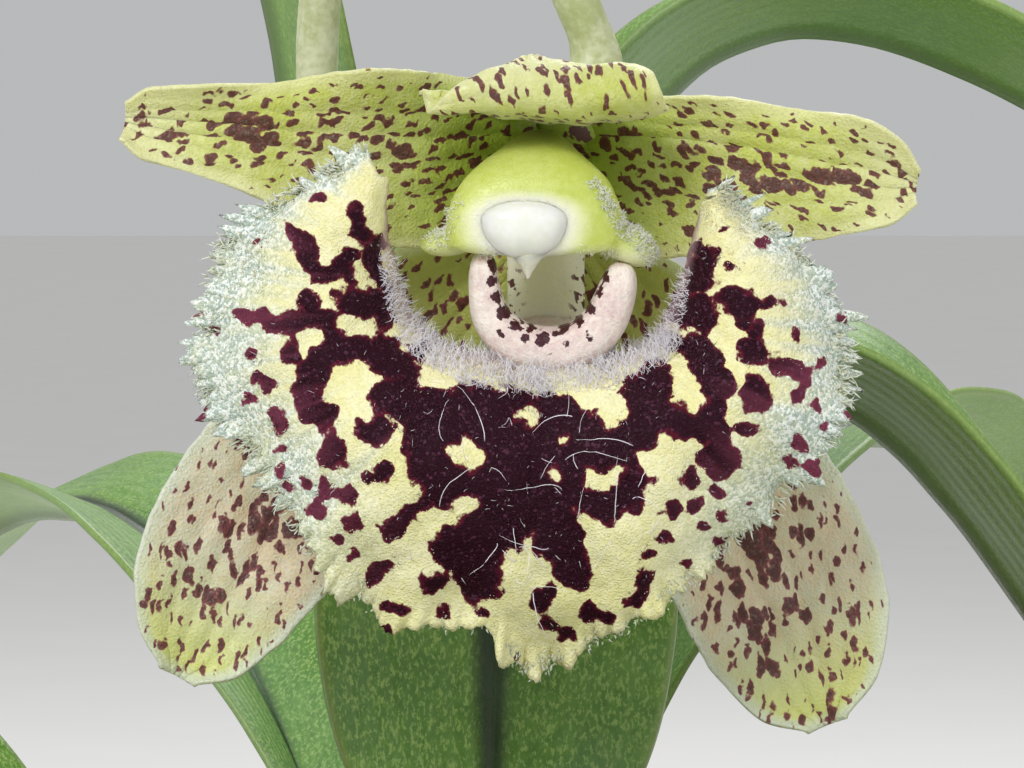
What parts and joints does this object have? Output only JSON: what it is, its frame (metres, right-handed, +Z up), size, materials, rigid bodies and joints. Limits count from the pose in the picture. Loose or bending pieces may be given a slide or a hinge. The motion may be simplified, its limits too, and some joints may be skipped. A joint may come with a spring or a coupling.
{
  "type": "potted kefersteinia aurorae orchid",
  "caption": "Small orchid in a plain clay pot of bark: fans of folded strap leaves and one nodding flower with a broad, fringed, maroon-blotched lip.",
  "frame": {"origin": "middle of the pot's foot, on the surface that it stands on", "axes": "+Z up, the flower looks along -Y, +X to its right as the viewer sees it"},
  "size_m": [0.1759, 0.1999, 0.1686],
  "materials": {
    "clay": "unglazed fired clay, matt, with pale lime bloom",
    "bark": "rough conifer bark chips, matt",
    "shoot": "fibrous leaf sheaths, green above and straw brown at the base, with pale felted roots",
    "leaf": "smooth waxy leaf with fine lengthwise veins and pale flecks",
    "stalk": "smooth pale green stem with brownish papery bracts",
    "petal": "soft translucent petal, yellow-green with maroon-brown flecks",
    "sepal": "soft translucent sepal, cream with maroon-brown flecks and glassy margins",
    "lip": "velvety cream lip with dark maroon blotches, silvery grainy margins and white hairs",
    "column": "fleshy yellow-green column with frosted wing edges",
    "anther": "glossy white anther cap"
  },
  "bodies": {
    "root": {"pot": "clay", "potting_mix": "bark", "front_shoot": "shoot", "front_leaf_1": "leaf", "front_leaf_2": "leaf", "front_leaf_3": "leaf", "front_leaf_4": "leaf", "back_shoot": "shoot", "back_leaf_1": "leaf", "back_leaf_2": "leaf", "back_leaf_3": "leaf", "back_leaf_4": "leaf", "back_leaf_5": "leaf", "back_leaf_6": "leaf", "flower_stalk": "stalk", "dorsal_sepal": "petal", "left_petal": "petal", "right_petal": "petal", "left_lateral_sepal": "sepal", "right_lateral_sepal": "sepal", "lip": "lip", "column": "column", "anther_cap": "anther"}
  },
  "joints": []
}
